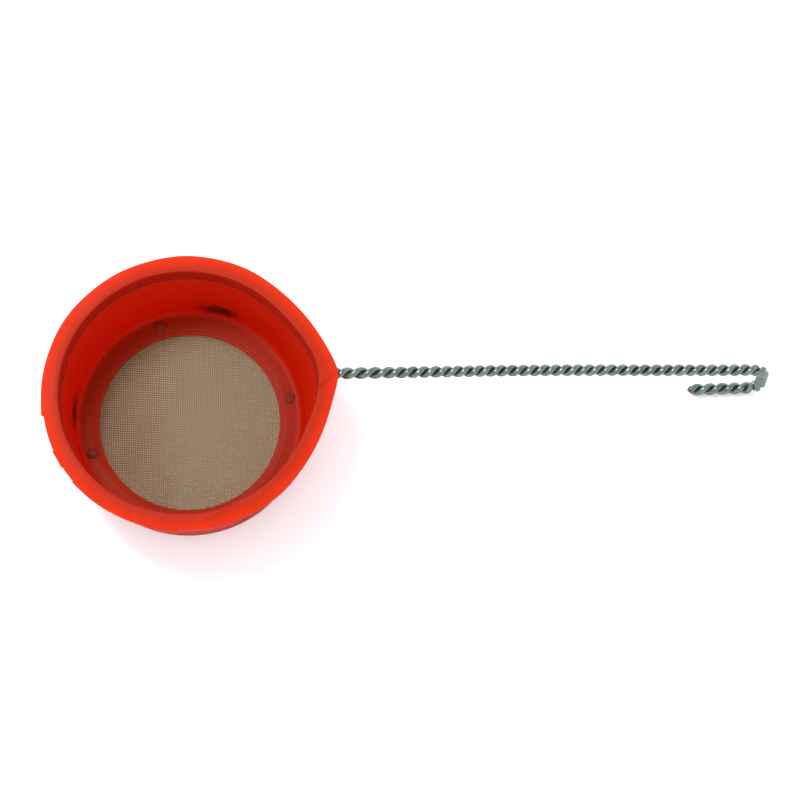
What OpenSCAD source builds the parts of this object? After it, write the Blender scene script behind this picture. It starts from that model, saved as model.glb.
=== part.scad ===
// Dipping strainer cup: a tapered plastic cup with a woven wire screen for a floor, a soft
// cover over its rim, and a twisted wire handle that ends in a hanging hook.
// Millimetres. Origin on the cup's axis, in the plane the cup stands on; +Z up, and +X
// along the handle.

/* [Cup] */
// Height of the cup over its rim cover
cup_h = 38.4; // [32:0.2:60]
// Inside diameter of the cup at its floor
floor_d = 74.2; // [70:0.2:78]
// Inside diameter of the cup at its lip
mouth_d = 82.8; // [80:0.2:90]
// Outside diameter of the foot
foot_d = 76; // [75.4:0.2:80]
// Wall thickness at the lip
lip_wall = 1.2; // [0.8:0.1:1.6]
// Height of the floor ledge above the foot
floor_z = 5.1; // [4.8:0.1:6]
// Radius of the corner between wall and ledge
corner_r = 1.5; // [0.6:0.1:2]

/* [Screen] */
// Diameter of the open screen
open_d = 58.8; // [50:0.2:60]
// Diameter of the woven disc
screen_d = 71; // [69.6:0.2:72]
// Thickness of the woven disc
screen_t = 0.4; // [0.2:0.05:0.6]
// Height of the screen's top face above the foot
screen_z = 4; // [3:0.1:4.4]

/* [Clamp ring and rivets] */
// Inside diameter of the clamp ring
ring_open_d = 60; // [58:0.2:61]
// Directions of the four rivets
rivet_turns = [11, 106, 198, 272]; // [0:1:360]
// Diameter of the circle the rivets stand on
rivet_circle = 67.2; // [66.4:0.2:68]
// Shank diameter of a rivet
rivet_d = 2.4; // [1.6:0.1:2.6]
// Head diameter of a rivet
rivet_head_d = 3.8; // [3:0.1:4]
// Height of the rivet's domed head
rivet_head_h = 0.6; // [0.4:0.05:0.8]

/* [Rim cover] */
// Width of the cover's top
rim_w = 5.2; // [5:0.1:6]
// Depth of the cover's outer skirt below the top
rim_skirt = 7; // [5:0.2:9]
// Thickness of the cover inside the mouth
rim_skin = 1; // [0.4:0.1:1.2]
// Radius of the crown
crown_r = 8; // [6:0.1:10]
// How far the skirt tucks in below the crown
skirt_tuck = 1.3; // [0.2:0.1:1.3]

/* [Wire] */
// Diameter of the wire
wire_d = 2; // [1.4:0.1:2.2]
// Depth of the hoop's centre below the top of the rim
hoop_drop = 4; // [3.8:0.1:4.4]

/* [Handle] */
// Distance from the cup's axis to where the two legs cross
neck_reach = 47; // [46:0.5:50]
// Sideways offset of the handle from the cup's axis
handle_offset = 5.7; // [0:0.1:10]
// Distance from the cup's axis to the far side of the hook
handle_reach = 189.8; // [120:1:240]
// Slope of the handle below the horizontal
handle_slope = 4.8; // [2:0.1:6]
// Radius of the hook's two bends
hook_r = 5.2; // [4:0.1:7]
// Straight length of the hook's return leg
hook_back = 17.8; // [10:0.2:40]
// Length of one full turn of the twist
pitch = 7.21; // [6.6:0.01:12]
// Length by which the twist falls behind near the neck
slack = 3.5; // [0:0.1:7]

/* [Hidden] */
$fn = 96;

orange_plastic = [0.80, 0.13, 0.04];
orange_vinyl = [0.95, 0.27, 0.10];
screen_grey = [0.56, 0.48, 0.40];
zinc_wire = [0.55, 0.60, 0.57];
dull_metal = [0.30, 0.24, 0.20];

// Cup
eps = 0.1;
cover_t = 1.5;
lip_z = cup_h - cover_t;
mouth_r = mouth_d / 2;
floor_r = floor_d / 2;
foot_r = foot_d / 2;
open_r = open_d / 2;
seat_r = screen_d / 2 + 0.6;
step_w = 1.2;
step_h = 0.3;

// Rim cover
rim_in_r = mouth_r - rim_skin;
rim_out_r = rim_in_r + rim_w;
crown_x = rim_in_r + 0.2 * rim_w;
crown_z = cup_h - crown_r;
skirt_z = cup_h - rim_skirt;
skirt_r = rim_out_r - skirt_tuck;
edge_drop = 1.6;
point_drop = 1.4;
tip_gap = 2.5;

// Wire hoop and the two legs that leave it
wire_r = wire_d / 2;
hoop_r = mouth_r + lip_wall + wire_r + 0.1;
hoop_z = cup_h - hoop_drop;
neck_dist = norm([neck_reach, handle_offset]);
neck_turn = atan2(handle_offset, neck_reach);
leg_spread = acos(hoop_r / neck_dist);
tip_dist = neck_dist + tip_gap;
slot_w = wire_d + 0.1;

// Handle line: slope, bend down, drop, bend back and return leg
rest_z = wire_d;
bend_x = handle_reach - wire_d - hook_r;
slope_len = (bend_x + hook_r * sin(handle_slope) - neck_reach) / cos(handle_slope);
upper_z = hoop_z - slope_len * sin(handle_slope) - hook_r * cos(handle_slope);
lower_z = rest_z + hook_r;
slope_end = slope_len;
bend_end = slope_end + hook_r * (90 - handle_slope) * PI / 180;
drop_end = bend_end + upper_z - lower_z;
hook_end = drop_end + hook_r * PI / 2;
wire_end = hook_end + hook_back;
slack_len = 15.6;

// Mesh density of the twisted strands
sides = 8;
rings_a_turn = 10;
leg_steps = 8;

function unit(v) = v / norm(v);
function polar(r, a) = [r * cos(a), r * sin(a)];
function arc(centre, r, from, to, n) = [for (i = [0 : n]) centre + polar(r, from + (to - from) * i / n)];

// Inside radius of the wall at height z
function wall_r(z) = floor_r + (mouth_r - floor_r) * (z - floor_z) / (lip_z - floor_z);

// Place of the handle's centre line at length s from the neck: [x, z, angle below horizontal]
function line_at(s) =
    s < slope_end ? [neck_reach + s * cos(handle_slope), hoop_z - s * sin(handle_slope), handle_slope]
    : s < bend_end ? bend_at(upper_z, handle_slope + (s - slope_end) / hook_r * 180 / PI)
    : s < drop_end ? [bend_x + hook_r, upper_z - (s - bend_end), 90]
    : s < hook_end ? bend_at(lower_z, 90 + (s - drop_end) / hook_r * 180 / PI)
    : [bend_x - (s - hook_end), rest_z, 180];
function bend_at(z, a) = [bend_x + hook_r * sin(a), z + hook_r * cos(a), a];

// Turn of the twist at length s, slower near the neck
function twist_at(s) = 360 / pitch * (s - slack * (1 - exp(-pow(s / slack_len, 2))));

// Centre of one strand at length s: the centre line, moved one wire radius sideways
function strand_at(s, start) =
    let (line = line_at(s), turn = start + twist_at(s), lift = wire_r * cos(turn))
    [line[0] + lift * sin(line[2]), handle_offset + wire_r * sin(turn), line[1] + lift * cos(line[2])];

// Where the leg on one side (side = 1 or -1) leaves the hoop
function leg_foot(side) = concat(polar(hoop_r, neck_turn + side * leg_spread), [hoop_z]);

// Path of one strand: straight leg from the hoop to the neck, then the twist to the hook's end
function strand_path(side, start) =
    let (foot = leg_foot(side), neck = strand_at(0, start), n = ceil(wire_end / pitch * rings_a_turn))
    concat([for (i = [0 : leg_steps - 1]) foot + (neck - foot) * i / leg_steps],
           [for (i = [0 : n]) strand_at(wire_end * i / n, start)]);

// Direction of the path at point i; the first ring lies in the end face of the hoop
function heading(path, i) =
    let (ahead = path[min(i + 1, len(path) - 1)] - path[max(i - 1, 0)])
    unit(i == 0 ? [ahead[0], ahead[1], 0] : ahead);

// One ring of points around the path
function ring(path, i) =
    let (t = heading(path, i), u = unit(cross(t, [0, 1, 0])), v = cross(t, u))
    [for (k = [0 : sides - 1]) path[i] + wire_r * (cos(360 * k / sides) * u + sin(360 * k / sides) * v)];

// Tube along a path, closed with a flat face at each end
module tube(path) {
    last = len(path) - 1;
    points = [for (i = [0 : last]) each ring(path, i)];
    walls = [for (i = [0 : last - 1], k = [0 : sides - 1])
        let (a = i * sides + k, b = i * sides + (k + 1) % sides)
        each [[a, a + sides, b], [b, a + sides, b + sides]]];
    ends = [[for (k = [0 : sides - 1]) k], [for (k = [sides - 1 : -1 : 0]) last * sides + k]];
    polyhedron(points, concat(walls, ends));
}

// Half section of the moulded cup: foot, tapered wall, rounded corner and stepped ledge
module cup_section() {
    corner = [wall_r(floor_z + corner_r) - corner_r, floor_z + corner_r];
    polygon(concat(
        [[seat_r, 0], [foot_r, 0], [mouth_r + lip_wall, lip_z], [mouth_r, lip_z]],
        arc(corner, corner_r, 0, -90, 6),
        [[open_r + 2 * step_w, floor_z], [open_r + 2 * step_w, floor_z - step_h],
         [open_r + step_w, floor_z - step_h], [open_r + step_w, floor_z - 2 * step_h],
         [open_r, floor_z - 2 * step_h], [open_r, screen_z], [seat_r, screen_z]]));
}

// Half section of the rim cover before the lip and the wire are taken out of it
module rim_section() {
    intersection() {
        polygon([[wall_r(skirt_z) - rim_skin, skirt_z], [skirt_r, skirt_z], [rim_out_r, cup_h - edge_drop],
                 [rim_out_r, cup_h], [rim_in_r, cup_h], [rim_in_r, lip_z]]);
        translate([crown_x, crown_z]) circle(r = crown_r);
    }
}

// One solid at every rivet place
module at_rivets() {
    for (turn = rivet_turns) rotate(turn) translate([rivet_circle / 2, 0, 0]) children();
}

module rivet_holes() at_rivets() translate([0, 0, -eps]) cylinder(d = rivet_d, h = cup_h / 2, $fn = 24);

module cup_body() {
    color(orange_plastic) difference() {
        rotate_extrude() cup_section();
        rivet_holes();
    }
}

module screen_disc() {
    color(screen_grey) difference() {
        translate([0, 0, screen_z - screen_t]) cylinder(d = screen_d, h = screen_t);
        rivet_holes();
    }
}

module clamp_ring() {
    color(orange_plastic) difference() {
        cylinder(r = seat_r, h = screen_z - screen_t);
        translate([0, 0, -eps]) cylinder(d = ring_open_d, h = cup_h);
        rivet_holes();
        at_rivets() translate([0, 0, -eps]) cylinder(d = rivet_head_d, h = rivet_head_h + eps, $fn = 24);
    }
}

// Shank, a flat head sunk into the clamp ring, and a low rounded head on the ledge
module screen_rivets() {
    head_r = rivet_head_d / 2;
    color(dull_metal) at_rivets() rotate_extrude($fn = 24) polygon(concat(
        [[0, 0], [head_r, 0], [head_r, rivet_head_h], [rivet_d / 2, rivet_head_h],
         [rivet_d / 2, floor_z], [head_r, floor_z]],
        [for (a = [15 : 15 : 75]) [head_r * cos(a), floor_z + rivet_head_h * sin(a)]],
        [[0, floor_z + rivet_head_h]]));
}

// Room inside the cover for one leg, from just before its foot to past the crossing
module leg_slot(side) {
    foot = leg_foot(side);
    way = [neck_reach, handle_offset, hoop_z] - foot;
    translate(foot) rotate(atan2(way[1], way[0])) translate([-wire_r / 2, -slot_w / 2, -slot_w + eps])
        cube([norm(way) + wire_d, slot_w, 2 * (slot_w - eps)]);
}

// The cover's point at the neck: the tangents from the tip to the round rim
module rim_point() {
    spread = acos(rim_out_r / tip_dist);
    difference() {
        translate([0, 0, skirt_z]) linear_extrude(rim_skirt - point_drop) polygon([
            [0, 0], polar(rim_out_r, neck_turn - spread), polar(tip_dist, neck_turn),
            polar(rim_out_r, neck_turn + spread)]);
        cylinder(r = skirt_r - rim_skin, h = cup_h);
    }
}

module rim_cover() {
    color(orange_vinyl) difference() {
        union() {
            rotate_extrude() rim_section();
            rim_point();
        }
        rotate_extrude() cup_section();
        wire_hoop();
        for (side = [-1, 1]) leg_slot(side);
        translate([neck_reach, handle_offset - slot_w, hoop_z - slot_w])
            cube([2 * tip_gap, 2 * slot_w, 2 * slot_w]);
    }
}

module wire_hoop() {
    color(zinc_wire) rotate(neck_turn + leg_spread) rotate_extrude(angle = 360 - 2 * leg_spread)
        translate([hoop_r, hoop_z]) circle(r = wire_r, $fn = 24);
}

module handle_strand_a() color(zinc_wire) tube(strand_path(-1, 0));
module handle_strand_b() color(zinc_wire) tube(strand_path(1, 180));

cup_body();
screen_disc();
clamp_ring();
screen_rivets();
rim_cover();
wire_hoop();
handle_strand_a();
handle_strand_b();
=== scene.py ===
"""Dipping strainer cup: the visual model of a round plastic cup with a woven screen floor, a soft
rim cover and a twisted wire handle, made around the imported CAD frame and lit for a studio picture."""

import math

import bpy
import numpy as np

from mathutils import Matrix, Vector


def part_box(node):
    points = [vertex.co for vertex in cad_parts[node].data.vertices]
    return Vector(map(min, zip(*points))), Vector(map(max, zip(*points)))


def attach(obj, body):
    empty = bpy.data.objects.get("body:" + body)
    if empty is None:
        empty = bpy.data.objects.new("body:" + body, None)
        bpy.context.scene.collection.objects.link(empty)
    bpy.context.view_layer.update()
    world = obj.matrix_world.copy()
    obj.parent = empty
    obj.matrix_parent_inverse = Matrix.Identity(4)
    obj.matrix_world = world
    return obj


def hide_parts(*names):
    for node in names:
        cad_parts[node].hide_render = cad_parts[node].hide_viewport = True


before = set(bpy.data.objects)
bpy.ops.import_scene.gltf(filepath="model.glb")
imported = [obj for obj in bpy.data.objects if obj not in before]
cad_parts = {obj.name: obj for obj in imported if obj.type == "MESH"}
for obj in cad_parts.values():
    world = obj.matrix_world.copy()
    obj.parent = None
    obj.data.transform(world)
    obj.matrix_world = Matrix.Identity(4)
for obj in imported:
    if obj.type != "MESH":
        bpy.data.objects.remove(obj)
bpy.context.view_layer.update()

bl_info = {
    "name": "Dipping Strainer Cup",
    "version": (1, 0, 0),
    "blender": (4, 5, 0),
    "location": "3D View > Sidebar > Strainer Cup",
    "description": "Makes a plastic strainer cup with a woven floor and a twisted wire handle",
    "category": "Object",
}

MM = 0.001
BODY = "root"

# Places read from the frame, in millimetres
CUP_LOW, CUP_HIGH = (np.array(corner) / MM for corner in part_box("cup_body"))
RIM_LOW, RIM_HIGH = (np.array(corner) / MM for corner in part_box("rim_cover"))
SCREEN_LOW, SCREEN_HIGH = (np.array(corner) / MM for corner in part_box("screen_disc"))
HOOP_LOW, HOOP_HIGH = (np.array(corner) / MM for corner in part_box("wire_hoop"))
STRAND_LOW, STRAND_HIGH = (np.array(corner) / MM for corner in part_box("handle_strand_a"))

WIRE_D = float(HOOP_HIGH[2] - HOOP_LOW[2])
LIP_R = float(-CUP_LOW[0])
LIP_Z = float(CUP_HIGH[2])
RIM_R = float(-RIM_LOW[0])
RIM_TOP = float(RIM_HIGH[2])
SKIRT_Z = float(RIM_LOW[2])
HOOP_R = float(-HOOP_LOW[0]) - WIRE_D / 2
HOOP_Z = float(HOOP_HIGH[2] + HOOP_LOW[2]) / 2
SCREEN_R = float(SCREEN_HIGH[0])
SCREEN_Z = float(SCREEN_HIGH[2] + SCREEN_LOW[2]) / 2
SCREEN_T = float(SCREEN_HIGH[2] - SCREEN_LOW[2])


# ---------------------------------------------------------------- sizes and colours


class CupSizes(bpy.types.PropertyGroup):
    """Sizes of the moulded cup, in millimetres"""

    floor_r: bpy.props.FloatProperty(
        name="Floor radius", description="Inside radius where the wall meets the floor", default=37.1)
    foot_r: bpy.props.FloatProperty(
        name="Foot radius", description="Outside radius of the foot", default=38.0)
    seat_r: bpy.props.FloatProperty(
        name="Seat radius", description="Inside radius of the skirt under the ledge", default=36.15)
    open_r: bpy.props.FloatProperty(
        name="Opening radius", description="Radius of the open screen", default=29.4)
    floor_z: bpy.props.FloatProperty(
        name="Ledge height", description="Height of the ledge above the foot", default=5.1)
    corner_r: bpy.props.FloatProperty(
        name="Corner radius", description="Radius between wall and ledge", default=1.5)
    step_w: bpy.props.FloatProperty(
        name="Step width", description="Width of each step at the ledge's edge", default=1.2)
    step_h: bpy.props.FloatProperty(
        name="Step height", description="Height of each step at the ledge's edge", default=0.3)
    lip_wall: bpy.props.FloatProperty(
        name="Lip wall", description="Wall thickness at the lip", default=1.2)
    opening_out: bpy.props.FloatProperty(
        name="Opening reach", description="How far the opening is out of round at the front", default=1.1)
    segments: bpy.props.IntProperty(
        name="Segments", description="Divisions round the cup", default=288, min=24)


class RimSizes(bpy.types.PropertyGroup):
    """Sizes of the soft rim cover, in millimetres and degrees"""

    width: bpy.props.FloatProperty(
        name="Width", description="Width of the cover seen from above", default=5.2)
    skin: bpy.props.FloatProperty(
        name="Skin", description="Thickness of the cover inside the mouth", default=1.0)
    crown_r: bpy.props.FloatProperty(
        name="Crown radius", description="Radius of the rounded top", default=8.0)
    tuck: bpy.props.FloatProperty(
        name="Tuck", description="How far the skirt tucks in below the crown", default=1.3)
    point_turn: bpy.props.FloatProperty(
        name="Point direction", description="Direction of the point at the handle", default=6.0)
    point_out: bpy.props.FloatProperty(
        name="Point reach", description="How far the point stands out of the rounded rim", default=1.40)
    mouth_turn: bpy.props.FloatProperty(
        name="Mouth direction", description="Direction in which the mouth is drawn out", default=8.0)
    mouth_in: bpy.props.FloatProperty(
        name="Mouth reach", description="How far the cover's inner edge is drawn out", default=3.0)
    mouth_wall: bpy.props.FloatProperty(
        name="Lip reach", description="How far the cup's lip is drawn out", default=2.2)
    mouth_out: bpy.props.FloatProperty(
        name="Outer reach", description="How far the cover's outer edge is drawn out", default=2.7)
    mouth_spread: bpy.props.FloatProperty(
        name="Mouth spread", description="Spread of the drawn-out mouth on either side", default=14.0)


class HandleSizes(bpy.types.PropertyGroup):
    """Sizes of the twisted handle, in millimetres and degrees"""

    neck_reach: bpy.props.FloatProperty(
        name="Neck reach", description="Distance from the cup's axis to where the legs cross", default=47.0)
    offset: bpy.props.FloatProperty(
        name="Offset", description="Sideways offset of the handle from the cup's axis", default=5.7)
    slope: bpy.props.FloatProperty(
        name="Slope", description="Slope of the handle below the horizontal", default=4.8)
    hook_r: bpy.props.FloatProperty(
        name="Hook radius", description="Radius of the hook's two bends", default=5.2)
    hook_back: bpy.props.FloatProperty(
        name="Hook return", description="Straight length of the return leg", default=17.8)
    pitch: bpy.props.FloatProperty(
        name="Pitch", description="Length of one full turn of the twist", default=7.21)
    slack: bpy.props.FloatProperty(
        name="Slack", description="Length by which the twist falls behind near the neck", default=3.5)
    slack_len: bpy.props.FloatProperty(
        name="Slack length", description="Length over which the twist catches up", default=15.6)
    hook_lag: bpy.props.FloatProperty(
        name="Hook lag", description="Length by which the twist falls behind in the hook's bends",
        default=1.6)
    loose_end: bpy.props.FloatProperty(
        name="Loose end", description="Share by which the return leg is twisted less", default=0.11)
    bow: bpy.props.FloatProperty(
        name="Bow", description="Sideways bow of the handle at its middle", default=0.45)
    sides: bpy.props.IntProperty(
        name="Sides", description="Sides of one strand", default=16, min=6)
    rings_a_turn: bpy.props.IntProperty(
        name="Rings a turn", description="Rings in one turn of the twist", default=26, min=8)


class ScreenSizes(bpy.types.PropertyGroup):
    """Sizes of the woven cloth, in millimetres"""

    pitch: bpy.props.FloatProperty(
        name="Pitch", description="Distance between neighbouring wires", default=0.60)
    wire: bpy.props.FloatProperty(
        name="Wire", description="Thickness of one screen wire", default=SCREEN_T / 2)
    wire_w: bpy.props.FloatProperty(
        name="Wire width", description="Width of one screen wire, rolled flat", default=0.32)


class StrainerColours(bpy.types.PropertyGroup):
    """Colours of the cup's materials, linear"""

    plastic: bpy.props.FloatVectorProperty(
        name="Cup plastic", description="Moulded cup", subtype="COLOR", default=(0.46, 0.0180, 0.0008))
    vinyl: bpy.props.FloatVectorProperty(
        name="Rim vinyl", description="Soft rim cover", subtype="COLOR", default=(0.44, 0.0180, 0.0022))
    zinc: bpy.props.FloatVectorProperty(
        name="Zinc", description="Galvanised wire", subtype="COLOR", default=(0.105, 0.140, 0.120))
    glow: bpy.props.FloatVectorProperty(
        name="Glow", description="Light that crosses the cup's wall", subtype="COLOR",
        default=(0.70, 0.0230, 0.0009))
    ledge: bpy.props.FloatVectorProperty(
        name="Ledge", description="Thick ledge round the screen", subtype="COLOR",
        default=(0.42, 0.0200, 0.0008))
    screen: bpy.props.FloatVectorProperty(
        name="Screen wire", description="Woven cloth", subtype="COLOR", default=(0.220, 0.155, 0.078))
    # Painted shade: the cloth's darker colour where the cup's wall shadows it.
    screen_shadow: bpy.props.FloatVectorProperty(
        name="Screen stain", description="Woven cloth where it is stained", subtype="COLOR",
        default=(0.155, 0.083, 0.029))


def sizes(name):
    """The property group of that name on the scene."""
    return getattr(bpy.context.scene, name)


# ---------------------------------------------------------------- surfaces


def smooth(t):
    """Eased step: 0 below 0, 1 above 1, and 3 t^2 - 2 t^3 between."""
    t = np.clip(t, 0.0, 1.0)
    return t * t * (3.0 - 2.0 * t)


def unit(v):
    """Vectors along the last axis, each divided by its own length."""
    return v / np.linalg.norm(v, axis=-1, keepdims=True)


def lattice(rows, columns, wrap_rows, wrap_columns):
    """Four-cornered faces of a grid of points, closed round either way where asked."""
    i = np.arange(rows if wrap_rows else rows - 1)[:, None]
    j = np.arange(columns if wrap_columns else columns - 1)[None, :]
    i2, j2 = (i + 1) % rows, (j + 1) % columns
    corners = (i * columns + j, i2 * columns + j, i2 * columns + j2, i * columns + j2)
    return np.stack([np.broadcast_to(c, (i.size, j.size)).ravel() for c in corners], axis=1)


def volume(points, quads):
    """Signed volume inside quads: each is two triangles, and each triangle gives a sixth of the
    triple product of its corners."""
    a, b, c, d = (points[quads[:, k]] for k in range(4))
    return (np.einsum("ij,ij->i", a, np.cross(b, c)).sum()
            + np.einsum("ij,ij->i", a, np.cross(c, d)).sum()) / 6.0


def make_piece(name, points, quads, extra=(), sharp=35.0):
    """A mesh object from points in millimetres and faces, turned outwards and shaded smooth except
    at edges sharper than the given angle."""
    flip = volume(points, quads) < 0
    faces = [face[::-1] if flip else face for face in quads.tolist() + [list(f) for f in extra]]
    mesh = bpy.data.meshes.new(name)
    mesh.from_pydata((points * MM).tolist(), [], faces)
    mesh.polygons.foreach_set("use_smooth", np.ones(len(faces), dtype=bool))
    mesh.set_sharp_from_angle(angle=math.radians(sharp))
    mesh.update()
    piece = bpy.data.objects.new(name, mesh)
    bpy.context.scene.collection.objects.link(piece)
    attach(piece, BODY)
    return piece


def rounded(corners, steps=5, spacing=1.2):
    """A closed outline through (x, y, rounding) corners. Each corner becomes a quadratic curve that
    starts and ends its rounding away along the two sides, and long sides get extra points."""
    c = np.array(corners, dtype=float)
    p, size = c[:, :2], c[:, 2:]
    before, after = unit(np.roll(p, 1, axis=0) - p), unit(np.roll(p, -1, axis=0) - p)
    t = np.linspace(0.0, 1.0, steps)[None, :, None]
    start, end = (p + before * size)[:, None, :], (p + after * size)[:, None, :]
    bends = (1 - t) ** 2 * start + 2 * t * (1 - t) * p[:, None, :] + t * t * end
    ring = bends.reshape(-1, 2)
    ring = ring[np.linalg.norm(ring - np.roll(ring, 1, axis=0), axis=1) > 1e-6]
    gaps = np.linalg.norm(np.roll(ring, -1, axis=0) - ring, axis=1)
    parts = np.maximum(1, np.ceil(gaps / spacing)).astype(int)
    at = np.repeat(np.arange(len(ring)), parts)
    share = (np.arange(parts.sum()) - np.repeat(np.cumsum(parts) - parts, parts)) / parts[at]
    return ring[at] + (np.roll(ring, -1, axis=0) - ring)[at] * share[:, None]


def arc(x, y, radius, start, end, steps):
    """Points on a circle about (x, y) from one angle to another, in degrees, with no rounding."""
    a = np.radians(np.linspace(start, end, steps))
    return [(x + radius * math.cos(v), y + radius * math.sin(v), 0.0) for v in a]


def pear(angle, radius, extra, soft):
    """Growth of a circle drawn out to a point: within the tangents' spread the outline is the
    tangent, radius / cos(spread - angle), and soft rounds the point off."""
    reach = radius + extra
    spread = np.arccos(radius / reach)
    turned = np.sqrt(angle**2 + math.radians(soft) ** 2)
    return radius / np.cos(np.clip(spread - turned, 0.0, None)) - radius


def turned_from(angle, degrees):
    """Angles measured from a direction in degrees, between half a turn back and half a turn on."""
    return (angle - math.radians(degrees) + math.pi) % (2 * math.pi) - math.pi


def rise(z):
    """Share of the mouth's shape at height z: none at the floor, all of it at the lip."""
    floor_z = sizes("strainer_cup").floor_z
    return smooth((z - floor_z) / (LIP_Z - floor_z))


def drawn_out(angle, reach):
    """How far the mouth is drawn out towards the handle: reach times a bell curve of the angle."""
    rim = sizes("strainer_rim")
    spread = math.radians(rim.mouth_spread) * math.sqrt(2.0)
    return reach * np.exp(-(turned_from(angle, rim.mouth_turn) / spread) ** 2)


def turned_surface(outline, angle, shift):
    """A section carried round the axis: point (r, z) at an angle goes to (r cos, r sin, z), after
    shift(angle, r, z) has moved it to a new r and z. Returns points and faces."""
    a, r, z = np.broadcast_arrays(angle[:, None], outline[None, :, 0], outline[None, :, 1])
    r, z = shift(a, r, z)
    points = np.stack([r * np.cos(a), r * np.sin(a), z], axis=-1)
    return points.reshape(-1, 3), lattice(len(angle), len(outline), True, True)


def wall_in(z):
    """Inside radius of the cup's wall at height z: a straight taper from floor to lip."""
    cup = sizes("strainer_cup")
    mouth = LIP_R - cup.lip_wall
    return cup.floor_r + (mouth - cup.floor_r) * (z - cup.floor_z) / (LIP_Z - cup.floor_z)


def wall_out(z):
    """Outside radius of the cup's wall at height z: a straight taper from foot to lip."""
    cup = sizes("strainer_cup")
    return cup.foot_r + (LIP_R - cup.foot_r) * z / LIP_Z


# ---------------------------------------------------------------- material nodes


class Val:
    """A number socket that adds a Math node for each operator used on it."""

    def __init__(self, tree, socket):
        self.tree, self.socket = tree, socket

    def maths(self, operation, *others, clamp=False):
        node = self.tree.nodes.new("ShaderNodeMath")
        node.operation, node.use_clamp = operation, clamp
        for socket, value in zip(node.inputs, others):
            if isinstance(value, Val):
                self.tree.links.new(value.socket, socket)
            else:
                socket.default_value = value
        return Val(self.tree, node.outputs[0])

    def __add__(self, other):
        return self.maths("ADD", self, other)

    __radd__ = __add__

    def __mul__(self, other):
        return self.maths("MULTIPLY", self, other)

    __rmul__ = __mul__

    def __sub__(self, other):
        return self.maths("SUBTRACT", self, other)

    def __rsub__(self, other):
        return self.maths("SUBTRACT", other, self)

    def root(self):
        return self.maths("SQRT", self)

    def absolute(self):
        return self.maths("ABSOLUTE", self)

    def most(self, other):
        return self.maths("MAXIMUM", self, other)

    def clamped(self):
        return self.maths("ADD", self, 0.0, clamp=True)

    def ramp(self, low, high):
        """0 below low, 1 above high and eased between."""
        node = self.tree.nodes.new("ShaderNodeMapRange")
        node.interpolation_type = "SMOOTHSTEP"
        self.tree.links.new(self.socket, node.inputs["Value"])
        node.inputs["From Min"].default_value = low
        node.inputs["From Max"].default_value = high
        return Val(self.tree, node.outputs["Result"])


class Finish:
    """A material, or a world, whose nodes are written as expressions."""

    def __init__(self, name, store="materials", output="ShaderNodeOutputMaterial", place="Object"):
        self.made = getattr(bpy.data, store).new(name)
        self.made.use_nodes = True
        self.tree = self.made.node_tree
        self.tree.nodes.clear()
        self.output = self.node(output)
        self.place = self.node("ShaderNodeTexCoord").outputs[place]

    def node(self, kind, settings=None, **inputs):
        """A node of that type, with its settings made first and then its sockets' values or links."""
        node = self.tree.nodes.new(kind)
        for key, value in (settings or {}).items():
            setattr(node, key, value)
        for key, value in inputs.items():
            numbered = key[0] == "i" and key[1:].isdigit()
            socket = node.inputs[int(key[1:]) if numbered else key.replace("_", " ")]
            if isinstance(value, Val):
                value = value.socket
            if isinstance(value, bpy.types.NodeSocket):
                self.tree.links.new(value, socket)
            else:
                socket.default_value = value
        return node

    def axes(self):
        """The x, y and z of the Object coordinates, in millimetres."""
        parts = self.node("ShaderNodeSeparateXYZ", Vector=self.place)
        return tuple(Val(self.tree, parts.outputs[k]) * 1000.0 for k in range(3))

    def noise(self, size, detail=3.0, rough=0.5, vector=None, stretch=(1.0, 1.0, 1.0)):
        """Noise of about that size in millimetres, as a number near 0.5."""
        scaled = self.node("ShaderNodeMapping", Vector=vector or self.place,
                           Scale=tuple(s * 1000.0 / size for s in stretch))
        noise = self.node("ShaderNodeTexNoise", Vector=scaled.outputs[0], Scale=1.0, Detail=detail,
                          Roughness=rough)
        return Val(self.tree, noise.outputs["Fac"])

    def mix(self, share, first, second):
        """Colour between two colours by a share from 0 to 1."""
        node = self.node("ShaderNodeMix", {"data_type": "RGBA"})
        sockets = (node.inputs["Factor"], node.inputs[6], node.inputs[7])
        for socket, value in zip(sockets, (share, first, second)):
            value = value.socket if isinstance(value, Val) else value
            if isinstance(value, bpy.types.NodeSocket):
                self.tree.links.new(value, socket)
            else:
                socket.default_value = (*value, 1.0) if isinstance(value, tuple) else value
        return node.outputs[2]

    def bump(self, height, distance, strength=1.0):
        """Normal from a height, with its distance in millimetres."""
        node = self.node("ShaderNodeBump", Height=height, Distance=distance * MM, Strength=strength)
        return node.outputs["Normal"]

    def surface(self, shader):
        self.tree.links.new(shader, self.output.inputs["Surface"])
        return self.made


def shade(colour, factor):
    """A colour made lighter or darker."""
    return tuple(min(1.0, c * factor) for c in colour)


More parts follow.
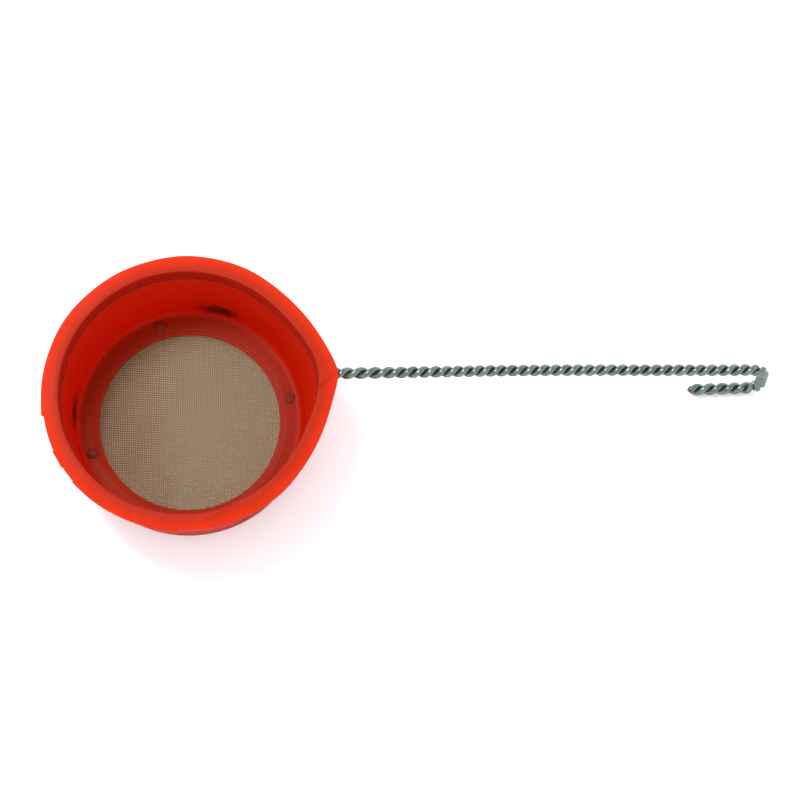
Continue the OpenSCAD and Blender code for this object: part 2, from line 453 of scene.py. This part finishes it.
def moulded_plastic():
    """Translucent orange-red moulding: light that crosses the wall, flow streaks, scuffs, a thicker
    and so darker ledge, and three dark patches above the foot, one of them painted shade."""
    colours = sizes("strainer_colours")
    colour = tuple(colours.plastic)
    f = Finish("moulded_orange_plastic")
    x, y, z = f.axes()
    blotch = f.noise(16.0, 3.0)
    grain = f.noise(1.6, 4.0, 0.6)
    streak = f.noise(5.0, 2.0, stretch=(1.0, 1.0, 0.12))
    # Three dark patches low on the wall; the one at -56 degrees is painted shade, on the side turned away
    # from the key light.
    dark_patch = dark_patch_share(f, x, y, z)
    lift = (blotch - 0.5) * 0.5 + (streak - 0.5) * 0.35 + 0.5
    base = f.mix(lift.clamped(), shade(colour, 0.82), shade(colour, 1.12))
    ledge = ledge_share(x, y, z + (blotch - 0.5) * 0.2)
    base = f.mix(ledge, base, tuple(colours.ledge))
    # The dark patches darken the plastic; at -56 degrees this is painted shade.
    base = f.mix(dark_patch, base, (0.022, 0.008, 0.005))
    rough = (grain - 0.5) * 0.18 + (blotch - 0.5) * 0.15 + 0.36
    normal = f.bump(grain * 0.5 + streak * 0.5, 0.05)
    gloss = f.node("ShaderNodeBsdfPrincipled", Base_Color=base, Roughness=rough, Normal=normal,
                   Specular_IOR_Level=0.08)
    crossing = f.mix(ledge, tuple(colours.glow), shade(tuple(colours.ledge), 1.3))
    crossing = f.mix(dark_patch, crossing, (0.03, 0.004, 0.002))
    glow = f.node("ShaderNodeBsdfTranslucent", Color=crossing)
    both = f.node("ShaderNodeMixShader", i0=0.5, i1=gloss.outputs[0], i2=glow.outputs[0])
    return f.surface(both.outputs[0])


def ledge_share(x, y, z):
    """Share of the thick ledge's colour: between the steps and the rounded corner, on and below the
    ledge's top."""
    cup = sizes("strainer_cup")
    r = (x * x + y * y).root()
    return (r.ramp(cup.open_r + 0.6, cup.open_r + 1.4) * (1.0 - r.ramp(35.4, 36.6))
            * (1.0 - z.ramp(cup.floor_z + 0.1, cup.floor_z + 0.9)))


def dark_patch_share(f, x, y, z):
    """Share of three dark, soft-edged patches low on the wall, each broken up by noise. The patch at
    -56 degrees is painted shade, on the side turned away from the key light.
    """
    cloud = f.noise(3.4, 4.0, 0.6)
    total = None
    for degrees, half in ((73.0, 7.4), (176.0, 6.1), (-56.0, 8.8)):
        c, s = math.cos(math.radians(degrees)), math.sin(math.radians(degrees))
        sideways = (y * c - x * s).absolute()
        here = (x * c + y * s).ramp(10.0, 20.0)
        here = here * (1.0 - (sideways + (cloud - 0.5) * 12.0).ramp(half - 4.5, half + 1.5))
        total = here if total is None else total.most(here)
    low = (z + (cloud - 0.5) * 6.0).ramp(5.2, 7.6)
    high = 1.0 - (z + (cloud - 0.5) * 9.0).ramp(8.5, 14.0)
    return total * low * high * 0.72


def rim_vinyl():
    """Opaque soft vinyl: satin, faintly mottled, with a fine stipple and small scuffs. Painted shade darkens
    the crown towards its inner edge and the skin inside the mouth under the crown, and a painted highlight
    runs along the skin's lower edge."""
    colour = tuple(sizes("strainer_colours").vinyl)
    f = Finish("soft_orange_vinyl")
    mottle = f.noise(9.0, 4.0, 0.55)
    stipple = f.noise(0.9, 3.0, 0.6)
    pits = f.noise(2.2, 2.0).ramp(0.66, 0.74)
    base = f.mix(((mottle - 0.5) * 1.2 + 0.5).clamped(), shade(colour, 0.86), shade(colour, 1.08))
    base = f.mix(pits * 0.35, base, shade(colour, 0.62))
    # Painted shade: the crown is darkened towards its inner edge, which faces into the cup.
    painted_inner_shade = 1.0 - Val(f.tree, f.node("ShaderNodeAttribute", {"attribute_name": "across"}).outputs["Fac"])
    base = f.mix(painted_inner_shade.clamped() * 0.8, base, shade(colour, 0.47))
    # Painted shade: the skin inside the mouth is darkened, as if in the shadow under the crown.
    inside = Val(f.tree, f.node("ShaderNodeAttribute", {"attribute_name": "inside"}).outputs["Fac"])
    base = f.mix(inside, base, (0.28, 0.0045, 0.0008))
    # Painted highlight: a pale line along the lower edge of the skin inside the mouth.
    painted_edge_highlight = inside * (1.0 - f.axes()[2].ramp(SKIRT_Z + 0.30, SKIRT_Z + 0.55))
    base = f.mix(painted_edge_highlight, base, (0.40, 0.060, 0.025))
    rough = (mottle - 0.5) * 0.2 + 0.46
    normal = f.bump(stipple * 0.5 + mottle - pits * 0.4, 0.10)
    gloss = f.node("ShaderNodeBsdfPrincipled", Base_Color=base, Roughness=rough, Normal=normal,
                   Specular_IOR_Level=0.06)
    return f.surface(gloss.outputs[0])


def galvanised():
    """Hot-dipped zinc: greenish grey, blotched, and brown with rust at the two cut ends."""
    colour = tuple(sizes("strainer_colours").zinc)
    f = Finish("galvanised_wire")
    x, _, z = f.axes()
    cloud = f.noise(2.6, 3.0, 0.6)
    fine = f.noise(0.5, 3.0, 0.6)
    base = f.mix(((cloud - 0.5) * 2.2 + 0.5).clamped(), shade(colour, 0.55), shade(colour, 1.25))
    end_x = hook_tip_x()
    cut = (1.0 - (x + (cloud - 0.5) * 0.8).ramp(end_x + 0.2, end_x + 0.8)) * (1.0 - z.ramp(6.0, 8.0))
    base = f.mix(cut * x.ramp(end_x - 3.0, end_x - 2.0) * 0.8, base, (0.035, 0.014, 0.007))
    rough = (cloud - 0.5) * 0.2 + (fine - 0.5) * 0.12 + 0.26
    normal = f.bump(cloud * 0.6 + fine * 0.4, 0.035)
    metal = f.node("ShaderNodeBsdfPrincipled", Base_Color=base, Metallic=0.8, Roughness=rough, Normal=normal,
                   Specular_IOR_Level=1.0)
    return f.surface(metal.outputs[0])


def screen_wire(name, share):
    """Drawn screen wire, dulled unevenly by use, with painted shade darkening it towards the side away
    from the handle, where the cup's wall shadows the screen.
    """
    colours = sizes("strainer_colours")
    f = Finish(name)
    shadow = f.noise(13.0, 3.0, 0.5)
    fine = f.noise(1.8, 2.0)
    # Painted shade: the wire is darkened towards the side away from the handle, in the shadow of the cup's
    # wall.
    unshaded = (f.axes()[0] + (shadow - 0.5) * 24.0).ramp(-34.0, 4.0) + (fine - 0.5) * 0.5
    base = f.mix(unshaded.clamped(), shade(colours.screen_shadow, share), shade(colours.screen, share))
    rough = (shadow - 0.5) * 0.2 + 0.42
    metal = f.node("ShaderNodeBsdfPrincipled", Base_Color=base, Metallic=0.5, Roughness=rough,
                   Specular_IOR_Level=0.2)
    return f.surface(metal.outputs[0])


def tarnished():
    """Tarnished rivet metal, partly coated with the plastic's red."""
    f = Finish("tarnished_rivet")
    cloud = f.noise(1.8, 3.0, 0.6)
    base = f.mix(cloud.ramp(0.38, 0.62), (0.110, 0.018, 0.006), (0.190, 0.018, 0.005))
    rough = (cloud - 0.5) * 0.3 + 0.65
    normal = f.bump(cloud, 0.03)
    metal = f.node("ShaderNodeBsdfPrincipled", Base_Color=base, Metallic=0.1, Roughness=rough, Normal=normal,
                   Specular_IOR_Level=0.1)
    return f.surface(metal.outputs[0])


def pale_floor():
    """Matt white paper."""
    f = Finish("white_paper")
    base = f.mix(f.noise(220.0, 2.0), (0.88, 0.87, 0.88), (0.91, 0.90, 0.91))
    matt = f.node("ShaderNodeBsdfPrincipled", Base_Color=base, Roughness=0.9)
    return f.surface(matt.outputs[0])


def dress(piece, material):
    """Puts a material on a piece, in its first slot."""
    piece.data.materials.clear()
    piece.data.materials.append(material)


def dress_frame(node, material):
    """Puts a material in every slot of a CAD node's object."""
    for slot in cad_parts[node].material_slots:
        slot.material = material


# ---------------------------------------------------------------- the cup


def cup_section():
    """Closed section of the moulding, (r, z, rounding): foot, outer wall, lip, inner wall, rounded
    corner, two steps, and the seat under the ledge."""
    cup = sizes("strainer_cup")
    edge = cup.open_r
    return rounded([
        (cup.seat_r, 0.0, 0.25), (cup.foot_r, 0.0, 0.45),
        (LIP_R, LIP_Z, 0.3), (LIP_R - cup.lip_wall, LIP_Z, 0.3),
        (wall_in(cup.floor_z), cup.floor_z, cup.corner_r),
        (edge + 2 * cup.step_w, cup.floor_z, 0.12), (edge + 2 * cup.step_w, cup.floor_z - cup.step_h, 0.08),
        (edge + cup.step_w, cup.floor_z - cup.step_h, 0.12),
        (edge + cup.step_w, cup.floor_z - 2 * cup.step_h, 0.08),
        (edge, cup.floor_z - 2 * cup.step_h, 0.15), (edge, float(SCREEN_HIGH[2]), 0.05),
        (cup.seat_r, float(SCREEN_HIGH[2]), 0.05)])


def cup_shape(angle, r, z):
    """Draws the cup's mouth out towards the handle, and the floor's opening a little the other way."""
    cup, rim = sizes("strainer_cup"), sizes("strainer_rim")
    edge = 1.0 - smooth((r - cup.open_r) / (2.5 * cup.step_w))
    front = (0.5 - 0.5 * np.sin(angle)) ** 2
    return r + rise(z) * drawn_out(angle, rim.mouth_wall) + cup.opening_out * edge * front, z


class STRAINER_OT_cup(bpy.types.Operator):
    """Makes the moulded cup, its mouth drawn out a little towards the handle"""

    bl_idname = "strainer.cup"
    bl_label = "Moulded Cup"

    def execute(self, context):
        angle = np.linspace(0.0, 2 * math.pi, sizes("strainer_cup").segments, endpoint=False)
        points, quads = turned_surface(cup_section(), angle, cup_shape)
        cup = make_piece("moulded_cup", points, quads)
        plastic = moulded_plastic()
        dress(cup, plastic)
        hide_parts("cup_body")
        dress_frame("clamp_ring", plastic)
        return {"FINISHED"}


# ---------------------------------------------------------------- the rim cover


def rim_section():
    """Closed section of the cover, (r, z, rounding): tucked skirt, outer edge, crown arc, inner edge
    and inner skin, and the slot that the cup's lip stands in."""
    rim = sizes("strainer_rim")
    inner = RIM_R - rim.width
    crown_x, crown_z = inner + 0.2 * rim.width, RIM_TOP - rim.crown_r
    shoulder = math.degrees(math.acos((RIM_R - 0.3 - crown_x) / rim.crown_r))
    brow = 180.0 - math.degrees(math.acos((crown_x - inner - 0.15) / rim.crown_r))
    crown = arc(crown_x, crown_z, rim.crown_r, shoulder, brow, 16)
    edge_z = RIM_TOP - 1.6
    gap = 0.03
    return rounded([
        (wall_out(SKIRT_Z + 0.5) + gap, SKIRT_Z + 0.5, 0.2), (RIM_R - rim.tuck, SKIRT_Z, 0.9),
        (RIM_R, edge_z, 0.5), *crown, (inner, RIM_TOP - 0.35, 0.2),
        (wall_in(SKIRT_Z) - rim.skin, SKIRT_Z, 0.25), (wall_in(SKIRT_Z) - gap, SKIRT_Z, 0.1),
        (LIP_R - sizes("strainer_cup").lip_wall - gap, LIP_Z + gap, 0.1), (LIP_R + gap, LIP_Z + gap, 0.1)])


# Laps and lumps of the hand-wrapped cover: direction where each ends abruptly, in degrees, how far
# it stands out in millimetres, and over how many degrees it fades away from there
OUTER_LAPS = ((187.6, 0.75, -9.0), (203.0, 0.45, 3.5), (210.5, 0.40, -3.0), (218.0, 0.40, 4.0),
              (-94.0, 0.85, -8.0))
INNER_LAP = (-68.6, 0.45, 7.0)

# How far the cover swells outwards all round, and how much more at the back than at the sides
SWELL = 0.35
BACK_SWELL = 0.25


def step_bump(angle, lap):
    """A bump that ends abruptly at one direction and fades away exponentially on the other side."""
    end, height, fade = lap
    away = (np.degrees(angle) - end + 180.0) % 360.0 - 180.0
    along = away / fade
    edge = smooth(along / (0.6 / abs(fade)) + 0.5)
    return height * edge * np.exp(-np.clip(along, 0.0, None))


def wrapped(angle, r, z):
    """Moves the cover's section: drawn out to the handle, thicker at its laps, and creased from the
    inner edge to the point."""
    rim, cup = sizes("strainer_rim"), sizes("strainer_cup")
    inner = RIM_R - rim.width
    across = np.clip((r - inner) / rim.width, 0.0, 1.0)
    in_slot = (np.abs(r - LIP_R + cup.lip_wall / 2) < cup.lip_wall) & (z < LIP_Z + 0.1)
    reach = np.where(in_slot, rim.mouth_wall, rim.mouth_in + (rim.mouth_out - rim.mouth_in) * across)
    point = smooth(across / 0.8) * pear(turned_from(angle, rim.point_turn), r, rim.point_out, 1.5)
    moved = rise(z) * (drawn_out(angle, reach) + np.where(in_slot, 0.0, point))
    outside = smooth((across - 0.45) / 0.5) * smooth((z - SKIRT_Z + 2.0) / 3.0)
    inside = (1.0 - smooth((r - inner) / 1.2)) * smooth((z - LIP_Z) / 0.6)
    bulge = sum(step_bump(angle, lap) for lap in OUTER_LAPS) * outside
    bulge = bulge + 0.10 * np.sin(5 * angle + 1.0) * outside + 0.06 * np.sin(13 * angle) * outside
    bulge = bulge + (SWELL + BACK_SWELL * np.sin(angle)) * outside
    inward = step_bump(angle, INNER_LAP) * inside
    top = smooth((z - LIP_Z) / (RIM_TOP - LIP_Z))
    away = np.degrees(turned_from(angle, rim.point_turn))
    crease = 0.45 * np.exp(-((away + 6.5 * (1.0 - across) + 0.6) / 1.1) ** 2) * smooth(across / 0.35) * top
    seam = away_from_seam(angle, across)
    ridge = 0.22 * smooth(seam / 0.8 + 0.5) * np.exp(-np.clip(seam, 0.0, None) / 9.0) * top
    wave = 0.10 * np.sin(7 * angle + 0.5) * top
    return r + moved + bulge - inward, z - crease + wave + ridge


def away_from_seam(angle, across):
    """Degrees from the slanting end of the cover, which crosses the crown between its two laps."""
    seam = INNER_LAP[0] + (OUTER_LAPS[-1][0] - INNER_LAP[0]) * across
    return -((np.degrees(angle) - seam + 180.0) % 360.0 - 180.0)


class STRAINER_OT_rim(bpy.types.Operator):
    """Makes the soft cover round the rim, with its laps, lumps and the point at the handle"""

    bl_idname = "strainer.rim"
    bl_label = "Rim Cover"

    def execute(self, context):
        angle = np.linspace(0.0, 2 * math.pi, 4 * sizes("strainer_cup").segments, endpoint=False)
        points, quads = turned_surface(rim_section(), angle, wrapped)
        cover = make_piece("rim_cover_wrap", points, quads)
        r, z = rim_section().T
        inner, outer = RIM_R - sizes("strainer_rim").width, RIM_R
        for name, share in (("inside", (r < LIP_R - sizes("strainer_cup").lip_wall) & (z < LIP_Z)),
                            ("across", smooth((r - inner) / (outer - inner)))):
            values = np.tile(share.astype(float), len(angle))
            cover.data.attributes.new(name, "FLOAT", "POINT").data.foreach_set("value", values)
        dress(cover, rim_vinyl())
        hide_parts("rim_cover")
        return {"FINISHED"}


# ---------------------------------------------------------------- the screen


def woven_wires(sign):
    """Points and faces of all the wires that run one way in a plain weave. Wire i lies at i
    pitches, and its height is that of a cosine that changes sign from wire to wire, so that it goes
    over one crossing wire and under the next. It is sampled at and between the crossings, and
    each sample carries a square of four points."""
    screen = sizes("strainer_screen")
    count = int(SCREEN_R / screen.pitch)
    wire = np.arange(-count, count + 1)
    step = np.arange(-2 * count, 2 * count + 1)
    across, along = wire[:, None] * screen.pitch, step[None, :] * screen.pitch / 2
    keep = across**2 + along**2 < (SCREEN_R - screen.wire_w) ** 2
    keep &= keep.sum(axis=1, keepdims=True) > 2
    swing = sign * (SCREEN_T - screen.wire) / 2
    height = swing * np.cos(math.pi / 2 * step)[None, :] * (-1.0) ** wire[:, None]
    side = np.array([[1, 0], [0, 1], [-1, 0], [0, -1]]) * (screen.wire_w / 2, screen.wire / 2)
    shape = (*keep.shape, 4)
    u = np.broadcast_to(across[..., None] + side[:, 0], shape)
    v = np.broadcast_to(along[..., None], shape)
    w = SCREEN_Z + height[..., None] + np.broadcast_to(side[:, 1], shape)
    points = np.stack([u, v, w] if sign > 0 else [v, u, w], axis=-1)[keep].reshape(-1, 3)
    number = np.cumsum(keep.ravel()).reshape(keep.shape) - 1
    joined = keep[:, :-1] & keep[:, 1:]
    first, second = number[:, :-1][joined] * 4, number[:, 1:][joined] * 4
    k = np.arange(4)
    k2 = (k + 1) % 4
    first, second = first[:, None], second[:, None]
    quads = np.stack([first + k, first + k2, second + k2, second + k], axis=-1)
    open_start = keep.copy()
    open_start[:, 1:] &= ~keep[:, :-1]
    open_end = keep.copy()
    open_end[:, :-1] &= ~keep[:, 1:]
    starts = number[open_start][:, None] * 4 + k[::-1]
    ends = number[open_end][:, None] * 4 + k
    return points, np.concatenate([quads.reshape(-1, 4), starts, ends])


class STRAINER_OT_screen(bpy.types.Operator):
    """Weaves the screen, wire over wire"""

    bl_idname = "strainer.screen"
    bl_label = "Woven Screen"

    def execute(self, context):
        for name, sign, share in (("screen_warp", 1.0, 1.0), ("screen_weft", -1.0, 0.9)):
            cloth = make_piece(name, *woven_wires(sign), sharp=80.0)
            dress(cloth, screen_wire(name + "_wire", share))
            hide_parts("screen_disc")
        dress_frame("screen_rivets", tarnished())
        return {"FINISHED"}


# ---------------------------------------------------------------- the handle


# Unevenness of the hand-made twist: how far it drifts, in radians, and over what lengths, in
# millimetres, and the lengths over which the drift, the hook's lag and the bow come in
SLOW_DRIFT = (0.26, 78.0, 15.1)
QUICK_DRIFT = (0.05, 3.7)
DRIFT_LENGTH = 20.0
LAG_LENGTH = 12.0
BOW_LENGTH = 135.0


def hook_tip_x():
    """How far along the handle the cut ends of the hook lie, in millimetres."""
    handle = sizes("strainer_handle")
    return float(STRAND_HIGH[0]) - WIRE_D - handle.hook_r - handle.hook_back


def handle_bends():
    """The hook's bends: the x of their centres, the heights of the upper and the lower centre, and
    the lengths from the neck at which the line starts and ends each bend."""
    handle = sizes("strainer_handle")
    slope, hook_r = math.radians(handle.slope), handle.hook_r
    bend_x = float(STRAND_HIGH[0]) - WIRE_D - hook_r
    s1 = (bend_x + hook_r * math.sin(slope) - handle.neck_reach) / math.cos(slope)
    upper_z = HOOP_Z - s1 * math.sin(slope) - hook_r * math.cos(slope)
    lower_z = WIRE_D + hook_r
    s2 = s1 + hook_r * (math.pi / 2 - slope)
    s3 = s2 + upper_z - lower_z
    return bend_x, upper_z, lower_z, (s1, s2, s3, s3 + hook_r * math.pi / 2)


def handle_line(s):
    """Centre line of the handle at lengths s from the neck, as x, z and angle below the horizontal:
    a straight slope, a bend down, a drop, a bend back and a straight return leg."""
    handle = sizes("strainer_handle")
    slope, hook_r, rest_z = math.radians(handle.slope), handle.hook_r, WIRE_D
    bend_x, upper_z, lower_z, (s1, s2, s3, s4) = handle_bends()
    first, last = slope + (s - s1) / hook_r, math.pi / 2 + (s - s3) / hook_r
    where = [s < s1, s < s2, s < s3, s < s4]
    x = np.select(where, [handle.neck_reach + s * math.cos(slope), bend_x + hook_r * np.sin(first),
                          np.full_like(s, bend_x + hook_r), bend_x + hook_r * np.sin(last)],
                  bend_x - (s - s4))
    z = np.select(where, [HOOP_Z - s * math.sin(slope), upper_z + hook_r * np.cos(first),
                          upper_z - (s - s2), lower_z + hook_r * np.cos(last)], rest_z)
    down = np.select(where, [np.full_like(s, slope), first, np.full_like(s, math.pi / 2), last], math.pi)
    return x, z, down


def strand_path(side, start):
    """Points along one strand: the straight leg from the hoop to the neck, then the handle's centre
    line moved sideways by one wire radius in a direction that turns once in each pitch. The twist
    falls behind near the neck and is a little uneven, as hand work is."""
    handle = sizes("strainer_handle")
    total = handle_bends()[3][-1] + handle.hook_back
    s = np.linspace(0.0, total, int(total / handle.pitch * handle.rings_a_turn))
    x, z, down = handle_line(s)
    behind = handle.slack * (1 - np.exp(-((s / handle.slack_len) ** 2)))
    after_bends = s - total + handle.hook_back
    behind = behind + handle.hook_lag * smooth(after_bends / LAG_LENGTH + 1.0)
    behind = behind + handle.loose_end * np.clip(after_bends, 0.0, None)
    turn = 2 * math.pi / handle.pitch * (s - behind)
    slow, slow_start, slow_length = SLOW_DRIFT
    quick, quick_length = QUICK_DRIFT
    drift = slow * np.cos((s - slow_start) / slow_length) + quick * np.sin(s / quick_length)
    turn = turn + start + smooth(s / DRIFT_LENGTH) * drift
    lift = WIRE_D / 2 * np.cos(turn)
    y = handle.offset + handle.bow * np.sin(math.pi * np.clip(s / BOW_LENGTH, 0.0, 1.0)) ** 2
    twist = np.stack([x + lift * np.sin(down), y + WIRE_D / 2 * np.sin(turn), z + lift * np.cos(down)], -1)
    reach = math.hypot(handle.neck_reach, handle.offset)
    foot_turn = math.atan2(handle.offset, handle.neck_reach) + side * math.acos(HOOP_R / reach)
    foot = np.array([HOOP_R * math.cos(foot_turn), HOOP_R * math.sin(foot_turn), HOOP_Z])
    leg = foot + (twist[0] - foot) * np.linspace(0.0, 1.0, 24, endpoint=False)[:, None]
    return np.concatenate([leg, twist])


def tube(path, radius):
    """A round section carried along a path: each ring lies square to the path's heading, and is
    turned from the sideways direction, which no stretch of the path follows."""
    sides = sizes("strainer_handle").sides
    heading = unit(np.gradient(path, axis=0))
    u = unit(np.cross(heading, [0.0, 1.0, 0.0]))
    v = np.cross(heading, u)
    a = np.linspace(0.0, 2 * math.pi, sides, endpoint=False)[None, :, None]
    rings = path[:, None, :] + radius * (np.cos(a) * u[:, None, :] + np.sin(a) * v[:, None, :])
    quads = lattice(len(path), sides, False, True)
    last = (len(path) - 1) * sides
    return rings.reshape(-1, 3), quads, (range(sides), range(last + sides - 1, last - 1, -1))


class STRAINER_OT_handle(bpy.types.Operator):
    """Twists the two strands of the handle and bends its hook"""

    bl_idname = "strainer.handle"
    bl_label = "Twisted Handle"

    def execute(self, context):
        zinc = galvanised()
        for name, node, side, start in (("twisted_strand_a", "handle_strand_a", -1, 0.0),
                                        ("twisted_strand_b", "handle_strand_b", 1, math.pi)):
            strand = make_piece(name, *tube(strand_path(side, start), WIRE_D / 2), sharp=50.0)
            dress(strand, zinc)
            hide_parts(node)
        dress_frame("wire_hoop", zinc)
        return {"FINISHED"}


# ---------------------------------------------------------------- the stage

VIEW_TURN = 1.9
VIEW_HEIGHT = 74.0
VIEW_DISTANCE = 1.248
VIEW_TARGET = (0.0690, -0.0051, 0.0384)
LENS = 175.5


def add_light(name, place, target, size, power, colour=(1.0, 1.0, 1.0)):
    """A square area light that points at a target."""
    data = bpy.data.lights.new(name, "AREA")
    data.size, data.energy, data.color = size, power, colour
    lamp = bpy.data.objects.new(name, data)
    bpy.context.scene.collection.objects.link(lamp)
    aim(lamp, place, target)


def aim(thing, place, target):
    """Puts a light or camera at a place, with its -Z axis towards the target and +Y up."""
    thing.location = place
    thing.rotation_euler = (Vector(target) - Vector(place)).to_track_quat("-Z", "Y").to_euler()


def soft_room():
    """A white room with pale walls and a dimmer ceiling."""
    f = Finish("soft_room", "worlds", "ShaderNodeOutputWorld", "Generated")
    parts = f.node("ShaderNodeSeparateXYZ", Vector=f.place)
    up = Val(f.tree, parts.outputs[2]).clamped()
    light = f.mix(up, (2.65, 2.65, 2.68), (0.90, 0.90, 0.92))
    return f.surface(f.node("ShaderNodeBackground", Color=light, Strength=1.0).outputs[0])


class STRAINER_OT_stage(bpy.types.Operator):
    """Lays the pale floor and sets the studio light and the camera"""

    bl_idname = "strainer.stage"
    bl_label = "Studio Stage"

    def execute(self, context):
        scene = context.scene
        mesh = bpy.data.meshes.new("paper_floor")
        half = 4.0
        corners = [(-half, -half, 0), (half, -half, 0), (half, half, 0), (-half, half, 0)]
        mesh.from_pydata(corners, [], [(0, 1, 2, 3)])
        floor = bpy.data.objects.new("paper_floor", mesh)
        scene.collection.objects.link(floor)
        dress(floor, pale_floor())

        scene.world = soft_room()
        middle = (0.03, 0.0, 0.02)
        add_light("key_softbox", (-0.32, 0.33, 1.10), middle, 0.33, 11.5)

        turn, height = math.radians(VIEW_TURN), math.radians(VIEW_HEIGHT)
        level = math.cos(height)
        ahead = np.array([math.sin(turn) * level, math.cos(turn) * level, -math.sin(height)])
        data = bpy.data.cameras.new("camera")
        data.lens, data.sensor_width = LENS, 36.0
        camera = bpy.data.objects.new("camera", data)
        scene.collection.objects.link(camera)
        aim(camera, tuple(np.array(VIEW_TARGET) - VIEW_DISTANCE * ahead), VIEW_TARGET)
        scene.camera = camera
        scene.view_settings.view_transform = "Standard"
        return {"FINISHED"}


# ---------------------------------------------------------------- add-on


class STRAINER_PT_panel(bpy.types.Panel):
    """Sidebar panel that lists the cup's pieces"""

    bl_label = "Strainer Cup"
    bl_idname = "STRAINER_PT_panel"
    bl_space_type = "VIEW_3D"
    bl_region_type = "UI"
    bl_category = "Strainer Cup"

    def draw(self, context):
        for operator in OPERATORS:
            self.layout.operator(operator.bl_idname)


GROUPS = {
    "strainer_cup": CupSizes,
    "strainer_rim": RimSizes,
    "strainer_handle": HandleSizes,
    "strainer_screen": ScreenSizes,
    "strainer_colours": StrainerColours,
}
OPERATORS = (STRAINER_OT_stage, STRAINER_OT_cup, STRAINER_OT_rim, STRAINER_OT_screen, STRAINER_OT_handle)


def register():
    for cls in (*GROUPS.values(), *OPERATORS, STRAINER_PT_panel):
        bpy.utils.register_class(cls)
    for name, group in GROUPS.items():
        setattr(bpy.types.Scene, name, bpy.props.PointerProperty(type=group))


def unregister():
    for name in GROUPS:
        delattr(bpy.types.Scene, name)
    for cls in reversed((*GROUPS.values(), *OPERATORS, STRAINER_PT_panel)):
        bpy.utils.unregister_class(cls)


def main():
    """Registers the add-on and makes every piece."""
    register()
    bpy.ops.strainer.stage()
    bpy.ops.strainer.cup()
    bpy.ops.strainer.rim()
    bpy.ops.strainer.screen()
    bpy.ops.strainer.handle()


if __name__ == "__main__":
    main()
